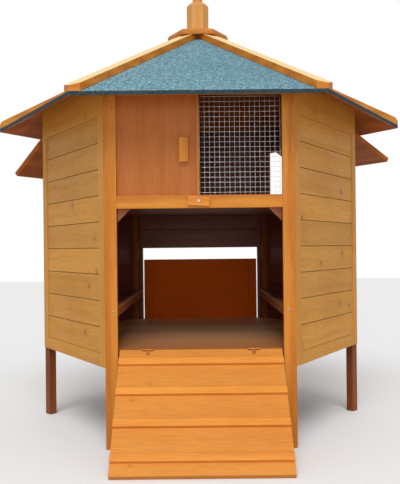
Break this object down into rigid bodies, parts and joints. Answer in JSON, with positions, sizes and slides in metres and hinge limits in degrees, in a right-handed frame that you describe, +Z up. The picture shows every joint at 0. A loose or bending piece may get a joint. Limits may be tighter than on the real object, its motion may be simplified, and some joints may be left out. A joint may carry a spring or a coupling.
{
  "type": "hexagonal timber chicken coop with ramp",
  "caption": "Hexagonal raised timber hen house with a pyramid felt roof, a drop-down front ramp, an upper mesh window and top-hung side hatches.",
  "frame": {"origin": "on the ground, under the middle of the bounding box, which takes in the lowered ramp", "axes": "+Z up, front with the ramp facing -Y, +X to the right seen from the front"},
  "size_m": [1.834, 1.785, 1.905],
  "materials": {
    "front_timber": "stained pine, satin",
    "side_timber": "stained tongue-and-groove pine, satin",
    "ramp_timber": "stained pine, satin",
    "panel_ply": "stained plywood, smooth",
    "leg_timber": "stained pine, darker",
    "inside_timber": "stained pine, dull",
    "roofing_felt": "mineral-faced felt, blue-grey",
    "zinc_fittings": "zinc plated",
    "mesh_wire": "galvanised, bright"
  },
  "bodies": {
    "coop": {"front_stile_left": "front_timber", "front_stile_right": "front_timber", "front_mid_rail": "front_timber", "front_top_rail": "front_timber", "front_divider": "front_timber", "front_mesh": "mesh_wire", "sliding_panel": "panel_ply", "panel_handle": "front_timber", "button_screw": "zinc_fittings", "knee_braces": "inside_timber", "perch_left": "inside_timber", "perch_right": "inside_timber", "lower_floor": "inside_timber", "floor_bearers": "inside_timber", "upper_floor": "inside_timber", "post_left": "leg_timber", "post_right": "leg_timber", "post_rear_left": "leg_timber", "post_rear_right": "leg_timber", "wall_frame_front_left": "side_timber", "wall_boards_front_left": "side_timber", "wall_frame_front_right": "side_timber", "wall_boards_front_right": "side_timber", "wall_frame_rear_left": "side_timber", "wall_boards_rear_left": "side_timber", "wall_frame_rear_right": "side_timber", "wall_boards_rear_right": "side_timber", "wall_frame_rear": "side_timber", "wall_boards_rear": "side_timber", "rear_board": "inside_timber", "floor_leaves": "zinc_fittings", "hatch_pins": "zinc_fittings", "roof_deck": "inside_timber", "roof_felt": "roofing_felt", "hip_battens": "side_timber", "cap_plate": "side_timber", "finial": "ramp_timber"},
    "ramp": {"ramp_board": "ramp_timber", "ramp_treads": "ramp_timber", "ramp_leaves": "zinc_fittings"},
    "button": {"turn_button": "ramp_timber"},
    "hatch_left": {"hatch_left_board": "side_timber", "hatch_left_leaves": "zinc_fittings"},
    "hatch_right": {"hatch_right_board": "side_timber", "hatch_right_leaves": "zinc_fittings"}
  },
  "joints": [
    {"name": "ramp_hinge", "type": "hinge", "parent": "coop", "child": "ramp", "pos_m": [0, -0.50515, 0.372], "axis": [-1, 0, 0], "range_deg": [0, 132.69]},
    {"name": "button_turn", "type": "hinge", "parent": "coop", "child": "button", "pos_m": [-0.003, -0.52515, 0.92997], "axis": [0, 1, 0], "range_deg": [0, 86]},
    {"name": "hatch_left_hinge", "type": "hinge", "parent": "coop", "child": "hatch_left", "pos_m": [-0.54953, 0.41566, 1.29], "axis": [0.5, 0.866, 0], "range_deg": [-48, 30]},
    {"name": "hatch_right_hinge", "type": "hinge", "parent": "coop", "child": "hatch_right", "pos_m": [0.54953, 0.41566, 1.29], "axis": [0.5, -0.866, 0], "range_deg": [-62, 16]}
  ]
}
